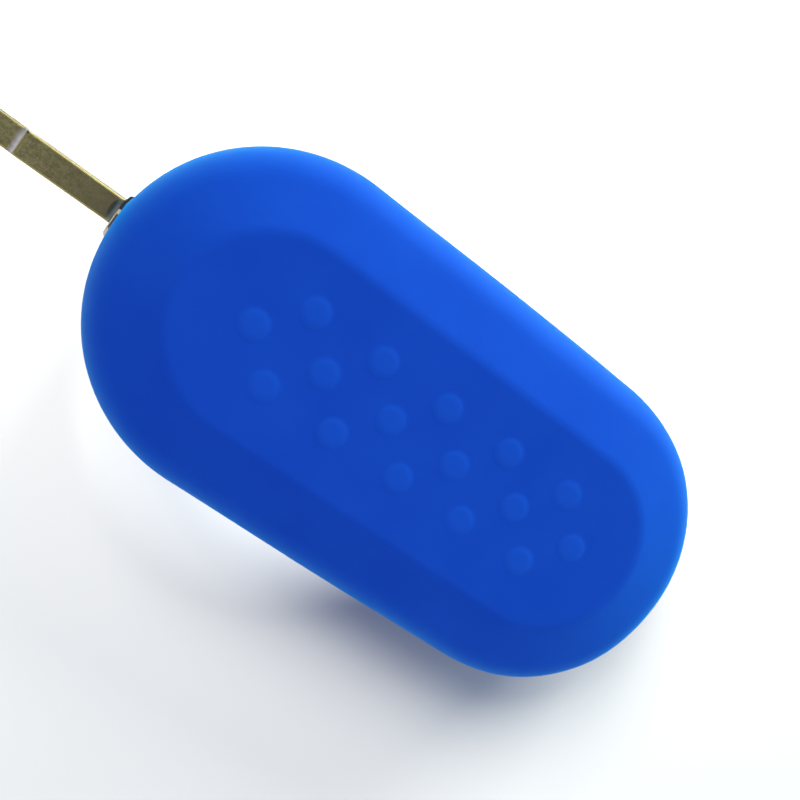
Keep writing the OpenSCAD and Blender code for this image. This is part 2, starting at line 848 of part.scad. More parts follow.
module controller_chip() {
    side = pad_len / 2;
    color([0.08, 0.08, 0.09])
        translate([pads_x[0] - side / 2, -cavity_r / 2, board_top]) {
            translate([-side / 2, -side / 2, 0])
                cube([side, side, part_h]);
            for (y = [-1, 1], i = [-2:2])
                translate([i * side / 6 - side / 30, y * side / 2 - side / 8, 0])
                    cube([side / 15, side / 4, board_t / 3]);
        }
}

module crystal_can() {
    l = pad_len / 2;
    w = pad_w * crystal_share;
    color([0.75, 0.75, 0.77])
        translate([pads_x[0] - l / 2, (coil_len + w) / 2 + board_gap, board_top])
            linear_extrude(part_h)
                rounded(l, w, w * crystal_round_share);
}

module antenna_coil() {
    color([0.45, 0.24, 0.12])
        translate([bay_x + board_gap + coil_r * 2, -coil_len / 2, board_top + coil_r]) {
            rotate([-90, 0, 0])
                cylinder(r = coil_r * coil_core_share, h = coil_len);
            for (y = [0, coil_len - coil_r / 2])
                translate([-coil_r, y, -coil_r])
                    cube([2 * coil_r, coil_r / 2, 2 * coil_r]);
        }
}

module transponder_chip() {
    color([0.1, 0.1, 0.1])
        translate([chip_bay_x, chip_bay_y, split_z - chip_h - seat_gap])
            cube([chip_len, chip_w, chip_h]);
}

silicone_cover();
rear_case();
front_case();
case_screws();
flip_hub();
blade_collar();
key_blade();
blade_pin();
flip_spring();
release_button();
key_pad(0);  // lock_pad
key_pad(1);  // boot_pad
key_pad(2);  // unlock_pad
key_cap(0);  // lock_cap
key_cap(1);  // boot_cap
key_cap(2);  // unlock_cap
plunger(0);  // lock_plunger
plunger(1);  // boot_plunger
plunger(2);  // unlock_plunger
switch_body(0);  // lock_switch
switch_body(1);  // boot_switch
switch_body(2);  // unlock_switch
circuit_board();
coin_cell();
cell_contact();
cell_clip();
controller_chip();
crystal_can();
antenna_coil();
transponder_chip();
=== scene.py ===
import json
import math

import bmesh
import bpy
from mathutils import Matrix, Vector, geometry


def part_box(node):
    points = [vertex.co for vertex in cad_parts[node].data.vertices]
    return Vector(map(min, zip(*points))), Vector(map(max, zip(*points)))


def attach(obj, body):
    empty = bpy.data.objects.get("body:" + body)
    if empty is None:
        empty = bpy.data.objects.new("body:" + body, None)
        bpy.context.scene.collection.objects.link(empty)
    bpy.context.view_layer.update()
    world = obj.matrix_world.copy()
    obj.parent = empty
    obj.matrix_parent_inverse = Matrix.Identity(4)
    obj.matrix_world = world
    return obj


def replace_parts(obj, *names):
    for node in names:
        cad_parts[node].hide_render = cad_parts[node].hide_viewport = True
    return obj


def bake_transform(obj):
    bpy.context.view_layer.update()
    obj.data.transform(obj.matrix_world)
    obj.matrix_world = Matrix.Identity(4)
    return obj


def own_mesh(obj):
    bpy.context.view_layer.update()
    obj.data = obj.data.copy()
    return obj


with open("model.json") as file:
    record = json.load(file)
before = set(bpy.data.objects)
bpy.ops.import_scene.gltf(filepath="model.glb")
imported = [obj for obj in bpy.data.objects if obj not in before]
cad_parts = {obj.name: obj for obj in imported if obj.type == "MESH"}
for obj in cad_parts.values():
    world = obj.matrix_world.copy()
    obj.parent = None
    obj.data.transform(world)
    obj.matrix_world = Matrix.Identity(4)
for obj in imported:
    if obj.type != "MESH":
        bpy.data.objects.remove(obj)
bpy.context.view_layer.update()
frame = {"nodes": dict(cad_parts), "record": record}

MM = 0.001
TURN = math.tau

# Sizes of the cover, in millimetres, with its slopes in radians
COVER_H = 18.4
WALL = 1.3
RIM_R = 19.14
END_X = 18.05
SIDE_BOW = 0.11
PANEL_R = 10.33
PANEL_END_X = 17.67
FLANK_SLOPE = math.radians(19.6)
FLANK_RUN = 4.9
CREASE_SOFT = 3.5
FRONT_R = 16.0
FRONT_SLOPE = math.radians(30)
FRONT_RUN = 1.2
FRONT_SOFT = 3.0
RIM_FULL = 0.62

# Mesh of the cover, with the plain ring that is kept round each dot and inside each face
PLAIN_RING = 0.25
COLUMN_STEP = 0.7
ROW_COUNTS = (8, 5, 18, 12, 5, 2, 8)
CREASE_STEPS = 24
RIM_STEPS = 120
LIP_STEPS = 6
SLOT_SPREAD = 5
ROUND_STEPS = 48

# Grip dots, with their rings as shares of the foot's radius
DOT_PITCH = 8.08
DOT_ROW_GAP = 4.33
DOT_ROWS = ((6, 0), (5, 1), (5, -1))
DOT_SHIFT = (0.13, 0.2)
DOT_FOOT_R = 1.78
DOT_TOP_R = 0.98
DOT_H = 0.083
DOT_CROWN = 0.03
DOT_RINGS = (1, 0.94, 0.88, 0.82, 0.76, 0.7, 0.64, 0.57, 0.45, 0.3, 0.12)

# Slot for the blade, between two heights, with the lip round it
SLOT_LOW = 2.5
SLOT_HIGH = 9.4
SLOT_START_Y = -5.05
SLOT_END_X = 26.35
SLOT_ROUND = 1.3
SLOT_SQUARE_RUN = 5
LIP = 0.3

# How far the slot's upper lip stands out at the slot's start and over the hub's arm
LIP_START = 0.22
LIP_START_RUN = 1.8
LIP_OVER = 0.36
LIP_OVER_RUN = (1.8, 7.5, 7.7, 8.7)
LIP_OVER_POWER = 1.3
LIP_FADE = 2.4

# Where the soft rim stands out or in, as where it rises and falls along the rim, and how far
RIM_SWELLS = ((0.0, 11.4, 18.0, 30.0, 0.35), (47.0, 56.0, 58.0, 68.0, -0.14))

# Key pads and the hole for the release button
PADS = (("lock", -7.5), ("boot", 7.5), ("unlock", 22.5))
PAD_SIZE = (10.4, 9.0, 3.8)
PAD_TOP = 0.2
PAD_BASE = 1.45
PAD_GAP = 0.15
PAD_CORNER_STEPS = 12
PAD_CROWN = 0.1
PAD_CROWN_RUN = 0.9
PAD_ROUND = 0.4
PAD_RINGS = (0.85, 0.7, 0.55, 0.4, 0.25, 0.1)
DISH_W = 0.9
DISH_D = 0.35
DISH_ROUNDS = (0.25, 0.2, 0.12)
RELEASE_HOLE_R = 4.2
RELEASE_HOLE_EDGE = 0.22
RELEASE_HOLE_ROUND = 0.2

# Release button
CAP_ROUND = 0.45
CAP_DISH = 0.3
CAP_DISH_ROUNDS = (4, 0.6)
SKIRT_WALL = 0.75
SKIRT_ROUND = 0.12
CAP_FACE = 1.2
CAP_FACE_ROUND = 0.5
CAP_MIDDLE_R = 0.3
CAP_STEPS = 64

# Hinge, in plan
release_low, release_high = (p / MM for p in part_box("release_button"))
PIVOT = tuple((release_low + release_high).to_2d() / 2)
RELEASE_R = (release_high.x - release_low.x) / 2

# Marks on the blade: the painted reflection in the hollow at the root's step, the painted glint by the
# collar, the darkening towards the collar, and the painted shade and painted highlight on the lit side's
# edges
STEP_X = -48.6
HOLLOW_GLINT_X = tuple(STEP_X - away for away in (1.15, 0.6, 0.2, 0.12))
ROOT_GLINT_X = (-38.5, -38.2, -38.05, -37.9)
SHADE_X = (-47.0, -38.5)
SHADE_SHARE = 0.8
EDGE_SHADE_Y = (2.0, 2.15)
LIT_EDGE_Y = (2.31, 2.37)

# Painted shade on the collar beside the cover's lip, along it and towards the cover
COLLAR_GAP_SHADE_Y = (-1.1, -0.8, 0.72, 0.82)
COLLAR_GAP_SHADE_X = (-37.86, -37.8)

# Icons on the key pads
ICON_H = 0.12
ICON_LINE = 0.28
ICON_ROUND = 0.05
ICON_FLAT = 0.6
MITRE_LIMIT = 0.5
SHACKLE_SWING = 1.0

# Flip spring
WIRE_R = 0.225
WIRE_SIDES = 10
SPRING_TURNS = 6
TURN_STEPS = 28

# Colours of the silicone, of its sheen and of the tops of its dots
SILICONE = (0.006, 0.056, 0.5)
SILICONE_TONES = ((0.0076, 0.053, 0.485), (0.0088, 0.06, 0.515))
SILICONE_GLOSS = (0.02, 0.35, 1, 1)
SILICONE_SHEEN = (0, 0.41, 1, 1)
DOT_BLUE = (0.0094, 0.0672, 0.542)

# Colours of the blade and the collar
BRASS = (0.2, 0.175, 0.085)
BRASS_TONES = ((0.16, 0.145, 0.068), (0.285, 0.245, 0.127))
# Darker brass towards the collar
BRASS_SHADE = (0.14, 0.122, 0.07)
# Painted reflection in the hollow at the root's step
BRASS_HOLLOW_GLINT = (0.56, 0.53, 0.55)
# Painted glint on the blade by the collar
BRASS_ROOT_GLINT = (0.36, 0.38, 0.28)
# Worn edges, lightened further as a painted highlight
BRASS_WORN_AND_GLINT = (0.33, 0.273, 0.086)
# Painted shade on the inner strip of the lit side's edges
BRASS_EDGE_SHADE = (0.125, 0.082, 0.038)
# Painted highlight on the outer strip of the lit side's edges
BRASS_LIT_EDGE = (0.43, 0.28, 0.12)
COLLAR = (0.86, 0.75, 0.6)
# Painted shade on the collar beside the cover's lip
COLLAR_GAP_SHADE = (0.13, 0.1, 0.11)

# Where most values of a noise lie, the parts of it that blotch the blade, break up its painted glints and
# mark its worn edges with painted highlights, and a chamfer's slope
NOISE_SPAN = (0.3, 0.7)
BLOTCH_SPAN = (0.8, 1.2)
GLINT_SPAN = (0.3, 0.55)
WORN_AND_GLINT_SPAN = (0.38, 0.48)
CHAMFER_SPAN = (0.38, 0.46)

# How far plastics and metals vary in tone and in roughness
PLASTIC_TONES = (0.85, 1.15)
PLASTIC_ROUGH = (0.06, 0.06)
METAL_TONES = (0.86, 1.1)
METAL_ROUGH = (0.08, 0.1)

# Filling of flat ground: only inside its edge, with points this close taken as one
FILL_INSIDE = 1
FILL_NEAR = 1e-6


def lerp(a, b, t):
    """The value that lies the share t of the way from a to b."""
    return a + (b - a) * t


def rounded_path(corners, radii, steps=4):
    """An open path through the corners, each inner corner rounded with its radius."""
    path = [Vector(corners[0])]
    for before, corner, after, radius in zip(corners, corners[1:], corners[2:], radii):
        corner = Vector(corner)
        a = (Vector(before) - corner).normalized()
        b = (Vector(after) - corner).normalized()
        half = a.angle(b) / 2
        reach = radius / math.tan(half)
        centre = corner + (a + b).normalized() * (radius / math.sin(half))
        p = corner + a * reach - centre
        q = corner + b * reach - centre
        sweep = p.angle(q)
        for i in range(steps + 1):
            t = i / steps
            out = (p * math.sin((1 - t) * sweep) + q * math.sin(t * sweep)) / math.sin(sweep)
            path.append(centre + out)
    path.append(Vector(corners[-1]))
    return path


class Skin:
    """Rings of points in millimetres that are joined into one mesh."""

    def __init__(self):
        self.points = []
        self.faces = []

    def ring(self, points):
        first = len(self.points)
        self.points += [Vector(p) for p in points]
        return list(range(first, len(self.points)))

    def bridge(self, a, b, closed=True):
        for i in range(len(a) if closed else len(a) - 1):
            j = (i + 1) % len(a)
            self.faces.append((a[i], a[j], b[j], b[i]))

    def band(self, first, rings):
        """Bridges from the ring first through each new ring, and returns the last."""
        for points in rings:
            after = self.ring(points)
            if first:
                self.bridge(first, after)
            first = after
        return first

    def cap(self, ring):
        self.faces.append(tuple(ring))

    def fan(self, ring, point):
        tip = self.ring([point])[0]
        for i in range(len(ring)):
            self.faces.append((ring[i], ring[(i + 1) % len(ring)], tip))

    def fill(self, outer, holes):
        """Fills the flat ground between the outer ring and the rings of its holes."""
        rings = [outer] + holes
        used = [i for ring in rings for i in ring]
        order = {index: k for k, index in enumerate(used)}
        flat = [self.points[i].to_2d() for i in used]
        edges = [(order[r[k]], order[r[(k + 1) % len(r)]]) for r in rings for k in range(len(r))]
        made = geometry.delaunay_2d_cdt(flat, edges, [], FILL_INSIDE, FILL_NEAR)
        points, _, faces, sources, _, _ = made
        hole_shapes = [[self.points[i].to_2d() for i in ring] for ring in holes]
        for face in faces:
            middle = sum((points[k] for k in face), Vector((0, 0))) / len(face)
            if any(inside(middle, shape) for shape in hole_shapes):
                continue
            self.faces.append(tuple(used[sources[k][0]] for k in face))

    def piece(self, name, body, material):
        mesh = bpy.data.meshes.new(name)
        mesh.from_pydata([p * MM for p in self.points], [], self.faces)
        shape = bmesh.new()
        shape.from_mesh(mesh)
        bmesh.ops.recalc_face_normals(shape, faces=shape.faces)
        shape.to_mesh(mesh)
        shape.free()
        mesh.polygons.foreach_set("use_smooth", [True] * len(mesh.polygons))
        obj = bpy.data.objects.new(name, mesh)
        bpy.context.scene.collection.objects.link(obj)
        obj.data.materials.append(material)
        if body:
            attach(obj, body)
        return obj


def inside(p, shape):
    """True if the flat point p lies inside the closed shape."""
    found = False
    for a, b in zip(shape, shape[1:] + shape[:1]):
        if (a.y > p.y) != (b.y > p.y) and p.x < (b.x - a.x) * (p.y - a.y) / (b.y - a.y) + a.x:
            found = not found
    return found


# Materials

def tree_of(mat):
    nodes = mat.node_tree.nodes
    return nodes, mat.node_tree.links, nodes["Principled BSDF"]


def new_material(name, color, **sockets):
    """A new material in one colour, with more of its shader's inputs set by name."""
    mat = bpy.data.materials.new(name)
    mat.use_nodes = True
    shader = tree_of(mat)[2]
    shader.inputs["Base Color"].default_value = (*color, 1)
    for key, value in sockets.items():
        shader.inputs[key.replace("_", " ").title().replace("Ior", "IOR")].default_value = value
    return mat


def noise(mat, scale, detail=4.0, rough=0.55):
    """Noise over the piece's own coordinates, with scale in features per millimetre."""
    nodes, links, _ = tree_of(mat)
    where = nodes.new("ShaderNodeTexCoord")
    size = nodes.new("ShaderNodeMapping")
    size.inputs["Scale"].default_value = [scale / MM] * 3
    made = nodes.new("ShaderNodeTexNoise")
    made.inputs["Scale"].default_value = 1
    made.inputs["Detail"].default_value = detail
    made.inputs["Roughness"].default_value = rough
    links.new(where.outputs["Object"], size.inputs["Vector"])
    links.new(size.outputs["Vector"], made.inputs["Vector"])
    return made.outputs["Fac"]


def spread(mat, source, low, high, out_low=0.0, out_high=1.0):
    """Stretches what lies between low and high in the source to the outer range, and clips the rest."""
    nodes, links, _ = tree_of(mat)
    ramp = nodes.new("ShaderNodeMapRange")
    for key, value in (("From Min", low), ("From Max", high), ("To Min", out_low), ("To Max", out_high)):
        ramp.inputs[key].default_value = value
    links.new(source, ramp.inputs["Value"])
    return ramp.outputs["Result"]


def tint(mat, source, low_color, high_color):
    """Colour that runs from one to the other with the source."""
    nodes, links, shader = tree_of(mat)
    mix = nodes.new("ShaderNodeMix")
    mix.data_type = "RGBA"
    mix.inputs["A"].default_value = (*low_color, 1)
    mix.inputs["B"].default_value = (*high_color, 1)
    links.new(source, mix.inputs["Factor"])
    links.new(mix.outputs["Result"], shader.inputs["Base Color"])
    return mix.outputs["Result"]


def roughen(mat, source, low, high):
    """Roughness that runs from low to high with the source."""
    _, links, shader = tree_of(mat)
    links.new(spread(mat, source, *NOISE_SPAN, low, high), shader.inputs["Roughness"])


def bump(mat, source, height, strength):
    """Bump from the source, with its height in millimetres."""
    nodes, links, shader = tree_of(mat)
    made = nodes.new("ShaderNodeBump")
    made.inputs["Strength"].default_value = strength
    made.inputs["Distance"].default_value = height * MM
    links.new(source, made.inputs["Height"])
    before = shader.inputs["Normal"].links
    if before:
        links.new(before[0].from_socket, made.inputs["Normal"])
    links.new(made.outputs["Normal"], shader.inputs["Normal"])


def silicone():
    mat = new_material("silicone", SILICONE, roughness=0.62, specular_ior_level=0.1, ior=1.2)
    shader = tree_of(mat)[2]
    shader.inputs["Specular Tint"].default_value = SILICONE_GLOSS
    shader.inputs["Sheen Weight"].default_value = 0.6
    shader.inputs["Sheen Roughness"].default_value = 0.45
    shader.inputs["Sheen Tint"].default_value = SILICONE_SHEEN
    ground = tint(mat, spread(mat, noise(mat, 0.12), *NOISE_SPAN), *SILICONE_TONES)
    overlay(mat, ground, place(mat, "Z", COVER_H, COVER_H + DOT_H / 2), DOT_BLUE)
    roughen(mat, noise(mat, 0.6), low=0.5, high=0.6)
    bump(mat, noise(mat, 9), height=0.012, strength=0.25)
    return mat


def place(mat, axis, start, end):
    """Runs from nought to one between two places along an axis, in millimetres."""
    nodes, links, _ = tree_of(mat)
    where = nodes.new("ShaderNodeTexCoord")
    parts = nodes.new("ShaderNodeSeparateXYZ")
    links.new(where.outputs["Object"], parts.inputs["Vector"])
    return spread(mat, parts.outputs[axis], start * MM, end * MM)


def combine(mat, kind, a, b):
    """Joins two sources, or a source and a number, by a kind of maths."""
    nodes, links, _ = tree_of(mat)
    made = nodes.new("ShaderNodeMath")
    made.operation = kind
    for source, target in ((a, made.inputs[0]), (b, made.inputs[1])):
        if isinstance(source, float):
            target.default_value = source
        else:
            links.new(source, target)
    return made.outputs[0]


def window(mat, axis, a, b, c, d):
    """One from b to c along an axis, in millimetres, and nought before a and past d."""
    return combine(mat, "MINIMUM", place(mat, axis, a, b), place(mat, axis, d, c))


def overlay(mat, ground, share, color):
    """Lays a colour over the ground by the share, which may be nought to one."""
    nodes, links, shader = tree_of(mat)
    mix = nodes.new("ShaderNodeMix")
    mix.data_type = "RGBA"
    mix.inputs["B"].default_value = (*color, 1)
    links.new(share, mix.inputs["Factor"])
    links.new(ground, mix.inputs["A"])
    links.new(mix.outputs["Result"], shader.inputs["Base Color"])
    return mix.outputs["Result"]


def tones(color, low, high):
    """A darker and a lighter tone of a colour."""
    return [c * low for c in color], [min(c * high, 1) for c in color]


def plastic(name, color, rough, grain_size, depth):
    """Plastic with faint cloudy tones and a fine grain of the given features per millimetre."""
    mat = new_material(name, color, roughness=rough)
    tint(mat, noise(mat, 0.3), *tones(color, *PLASTIC_TONES))
    roughen(mat, noise(mat, 1.1), rough - PLASTIC_ROUGH[0], rough + PLASTIC_ROUGH[1])
    bump(mat, noise(mat, grain_size), height=depth, strength=0.5)
    return mat


def metal(name, color, rough, grain_size):
    """Metal with faint cloudy tones and a fine grain of the given features per millimetre."""
    mat = new_material(name, color, roughness=rough, metallic=1.0)
    tint(mat, noise(mat, 0.9), *tones(color, *METAL_TONES))
    roughen(mat, noise(mat, grain_size), rough - METAL_ROUGH[0], rough + METAL_ROUGH[1])
    bump(mat, noise(mat, grain_size), height=0.01, strength=0.3)
    return mat


def edge_mask(mat):
    """One on faces that slope both across and up, such as chamfers, and nought on flat faces."""
    nodes, links, _ = tree_of(mat)
    where = nodes.new("ShaderNodeTexCoord")
    parts = nodes.new("ShaderNodeSeparateXYZ")
    links.new(where.outputs["Normal"], parts.inputs["Vector"])
    both = nodes.new("ShaderNodeMath")
    both.operation = "MULTIPLY"
    flat = nodes.new("ShaderNodeMath")
    flat.operation = "MAXIMUM"
    for key, target in (("X", flat.inputs[0]), ("Y", flat.inputs[1]), ("Z", both.inputs[0])):
        size = nodes.new("ShaderNodeMath")
        size.operation = "ABSOLUTE"
        links.new(parts.outputs[key], size.inputs[0])
        links.new(size.outputs[0], target)
    links.new(flat.outputs[0], both.inputs[1])
    return spread(mat, both.outputs[0], *CHAMFER_SPAN)


def collar_satin():
    """Satin plating, with painted shade beside the cover's lip except at the two ends of the collar."""
    mat = metal("collar_satin", COLLAR, 0.3, 6)
    plating = tree_of(mat)[2].inputs["Base Color"].links[0].from_socket
    # Painted shade beside the cover's lip
    ends = window(mat, "Y", *COLLAR_GAP_SHADE_Y)
    share = combine(mat, "MULTIPLY", ends, place(mat, "X", *COLLAR_GAP_SHADE_X))
    overlay(mat, plating, share, COLLAR_GAP_SHADE)
    return mat


def blade_brass():
    """Tarnished brass, darker towards the collar, with a painted reflection in the hollow at the root's
    step, a painted glint by the collar, and worn edges lightened partly by painted highlights, those on the
    lit side with a painted shaded strip and a painted highlight.
    """
    mat = new_material("blade_brass", BRASS, roughness=0.42, metallic=1.0)
    blotches = combine(mat, "ADD", noise(mat, 1.5, rough=0.6), noise(mat, 5, detail=2))
    ground = tint(mat, spread(mat, blotches, *BLOTCH_SPAN), *BRASS_TONES)
    # Darker towards the collar
    shade = combine(mat, "MULTIPLY", place(mat, "X", *SHADE_X), SHADE_SHARE)
    ground = overlay(mat, ground, shade, BRASS_SHADE)
    # Painted reflection in the hollow at the root's step, broken up by noise
    hollow = window(mat, "X", *HOLLOW_GLINT_X)
    glint_spots = spread(mat, noise(mat, 1.5), *GLINT_SPAN, out_low=0.4)
    ground = overlay(mat, ground, combine(mat, "MULTIPLY", hollow, glint_spots), BRASS_HOLLOW_GLINT)
    # Painted glint on the blade by the collar
    root_glint = window(mat, "X", *ROOT_GLINT_X)
    ground = overlay(mat, ground, combine(mat, "MULTIPLY", root_glint, glint_spots), BRASS_ROOT_GLINT)
    # Worn edges, lightened further as a painted highlight
    worn_and_glint = spread(mat, noise(mat, 1.6, detail=3), *WORN_AND_GLINT_SPAN, out_low=0.7)
    edges = combine(mat, "MULTIPLY", edge_mask(mat), worn_and_glint)
    ground = overlay(mat, ground, edges, BRASS_WORN_AND_GLINT)
    # Painted shade on the inner strip of the lit side's edges
    upper = combine(mat, "MULTIPLY", edges, place(mat, "Y", *EDGE_SHADE_Y))
    ground = overlay(mat, ground, upper, BRASS_EDGE_SHADE)
    # Painted highlight on the outer strip of the lit side's edges
    lit = combine(mat, "MULTIPLY", edges, place(mat, "Y", *LIT_EDGE_Y))
    overlay(mat, ground, lit, BRASS_LIT_EDGE)
    roughen(mat, noise(mat, 5), low=0.36, high=0.5)
    bump(mat, noise(mat, 5, detail=3), height=0.01, strength=0.4)
    return mat


# Cover

def curve(p0, p1, p2, p3, t):
    """Point of a cubic Bezier curve."""
    return p0 * (1 - t) ** 3 + p1 * 3 * (1 - t) ** 2 * t + p2 * 3 * (1 - t) * t ** 2 + p3 * t ** 3


def edge_path(face_r, slope, run, soft):
    """From a flat face to the widest level, as (radius, depth): its soft crease, then its rim."""
    crease = [Vector((face_r - soft * math.tan(slope / 2) + soft * math.sin(a), soft - soft * math.cos(a)))
              for a in (slope * i / CREASE_STEPS for i in range(CREASE_STEPS + 1))]
    start = Vector((face_r + run, run * math.tan(slope)))
    end = Vector((RIM_R, COVER_H / 2))
    corner = Vector((RIM_R, (RIM_R - face_r) * math.tan(slope)))
    rim = [curve(start, start.lerp(corner, RIM_FULL), end.lerp(corner, RIM_FULL), end, i / RIM_STEPS)
           for i in range(RIM_STEPS + 1)]
    return crease, rim


class Profile:
    """The cover's half section, from the panel round the rim to the front face."""

    def __init__(self):
        crease, rim = edge_path(PANEL_R, FLANK_SLOPE, FLANK_RUN, CREASE_SOFT)
        front_crease, front_rim = edge_path(FRONT_R, FRONT_SLOPE, FRONT_RUN, FRONT_SOFT)
        back = [Vector((p.x, COVER_H - p.y)) for p in crease + rim]
        front = [Vector(p) for p in reversed(front_crease + front_rim[:-1])]
        self.path = back + front
        self.reach = [0.0]
        for p, q in zip(self.path, self.path[1:]):
            self.reach.append(self.reach[-1] + (q - p).length)
        marks = (0, len(crease) - 1, len(crease), len(back) + len(front_rim) - 2,
                 len(back) + len(front_rim) - 1, len(self.path) - 1)
        self.marks = [self.reach[i] for i in marks]

    def at(self, v):
        """The point and the outward normal at the length v."""
        low, high = 0, len(self.reach) - 1
        while high - low > 1:
            k = (low + high) // 2
            if self.reach[k] <= v:
                low = k
            else:
                high = k
        t = (v - self.reach[low]) / (self.reach[high] - self.reach[low])
        p = self.path[low].lerp(self.path[high], t)
        before = self.path[max(low - 1, 0)]
        after = self.path[min(high + 1, len(self.path) - 1)]
        run = (after - before).normalized()
        return p, Vector((-run.y, run.x))

    def length_at(self, height):
        """How far along the section it reaches the height."""
        for k, (p, q) in enumerate(zip(self.path, self.path[1:])):
            if p.y >= height > q.y:
                return lerp(self.reach[k], self.reach[k + 1], (p.y - height) / (p.y - q.y))
        raise ValueError("no such height")


# Lengths along the rim: of one end, of one side and all round, then to the slot's start and end
ARC = math.pi * RIM_R
SIDE = 2 * END_X
AROUND = 2 * (ARC + SIDE)
SLOT_START = ARC + SIDE + RIM_R * (math.pi / 2 + math.asin(-SLOT_START_Y / RIM_R))
SLOT_END = RIM_R * (math.acos((SLOT_END_X - END_X) / RIM_R) + math.pi / 2)


def around(u, r):
    """Point in plan at the way u along the rim, at the radius r from the cover's middle line."""
    u %= AROUND
    share = max(0.0, min(1.0, (r - PANEL_R) / (RIM_R - PANEL_R)))
    end = lerp(PANEL_END_X, END_X, share)
    if u < ARC or ARC + SIDE <= u < 2 * ARC + SIDE:
        side = 1 if u < ARC else -1
        a = (u if side == 1 else u - SIDE) / RIM_R - math.pi / 2
        return Vector((side * end + r * math.cos(a), r * math.sin(a)))
    side = 1 if u < ARC + SIDE else -1
    f = 1 - 2 * (u - ARC if side == 1 else u - 2 * ARC - SIDE) / SIDE
    bow = SIDE_BOW * share * (1 + math.cos(math.pi * f)) / 2
    return Vector((side * end * f, side * (r + bow)))


def ease(x, start, end):
    """Smooth run from nought at the start to one at the end."""
    t = max(0.0, min(1.0, (x - start) / (end - start)))
    return t * t * (3 - 2 * t)


def rim_swell(u, r):
    """How far the rim stands out or in at the way u, less towards the panel."""
    u %= AROUND
    out = sum(amount * ease(u, a, b) * ease(u, d, c) for a, b, c, d, amount in RIM_SWELLS)
    return out * ease(r, PANEL_R, RIM_R)


def lip_out(u, height):
    """How far the slot's upper lip stands out at the way u."""
    s = SLOT_START - u
    a, b, c, d = LIP_OVER_RUN
    if s < -LIP or s > d:
        return 0.0
    start = LIP_START * ease(s, -LIP, 0) * max(0.0, 1 - max(s, 0.0) / LIP_START_RUN) ** 2
    over = LIP_OVER * max(0.0, min(1.0, (s - a) / (b - a))) ** LIP_OVER_POWER * ease(s, d, c)
    above = ease(height, SLOT_HIGH + LIP_FADE, SLOT_HIGH)
    below = ease(height, SLOT_LOW, SLOT_HIGH - LIP)
    return (start + over) * above * below


def squared(u, depth):
    """Slides a place by the slot's end along the rim, so that the end goes square through the wall."""
    end = RIM_R * (math.acos((SLOT_END_X - END_X) / (RIM_R - depth)) + math.pi / 2)
    return u + (end - SLOT_END) * ease(abs(u - SLOT_END), SLOT_SQUARE_RUN, 0)


def wall_point(profile, u, v, depth):
    """Point of the cover at u along the rim and v along the section, at a depth under its skin."""
    u = squared(u, depth)
    p, normal = profile.at(v)
    p = p - normal * depth
    flat = around(u, p.x + rim_swell(u, p.x) + lip_out(u, p.y))
    return Vector((flat.x, flat.y, p.y))


def steps_between(knots, counts):
    """The knots, with even steps between each two of them."""
    places = [knots[0]]
    for a, b, n in zip(knots, knots[1:], counts):
        places += [lerp(a, b, (i + 1) / n) for i in range(n)]
    return places


def slot_corner(u, v, box, radius):
    """Moves a point on the slot's edge onto the slot's rounded corner."""
    u0, u1, v0, v1 = box
    cu = u0 if u - u0 < u1 - u else u1
    cv = v0 if v - v0 < v1 - v else v1
    du = 1 if cu == u0 else -1
    dv = 1 if cv == v0 else -1
    a = abs(u - cu)
    b = abs(v - cv)
    if a >= radius or b >= radius:
        return u, v
    turn = (radius - a if b < a else radius + b) / (2 * radius) * math.pi / 2
    if b >= a:
        turn = math.pi / 2 - (radius - b) / (2 * radius) * math.pi / 2
    return (cu + du * radius * (1 - math.sin(turn)), cv + dv * radius * (1 - math.cos(turn)))


def pad_ring(x, grow, z, shrink=1.0):
    """A pad's outline at the height z, grown evenly and then shrunk towards its middle."""
    length, width, radius = PAD_SIZE
    radius += grow
    points = []
    for k in range(4):
        sx = (1, -1, -1, 1)[k]
        sy = (1, 1, -1, -1)[k]
        cx = sx * (length / 2 + grow - radius)
        cy = sy * (width / 2 + grow - radius)
        for i in range(PAD_CORNER_STEPS + 1):
            a = (k + i / PAD_CORNER_STEPS) * math.pi / 2
            points.append((cx + radius * math.cos(a), cy + radius * math.sin(a)))
    return [Vector((x + px * shrink, py * shrink, z)) for px, py in points]


def circle_ring(centre, radius, z, n=ROUND_STEPS):
    """A level circle of n points at the height z."""
    ring = []
    for i in range(n):
        a = TURN * i / n
        ring.append(Vector((centre[0] + radius * math.cos(a), centre[1] + radius * math.sin(a), z)))
    return ring


def dot_height(r):
    """Height of a dot over the panel: a nearly flat top with a soft sloping edge."""
    t = min(max((DOT_FOOT_R - r) / (DOT_FOOT_R - DOT_TOP_R), 0), 1)
    return (DOT_H - DOT_CROWN) * t * t * (3 - 2 * t) + DOT_CROWN * max(0, 1 - (r / DOT_FOOT_R) ** 2)


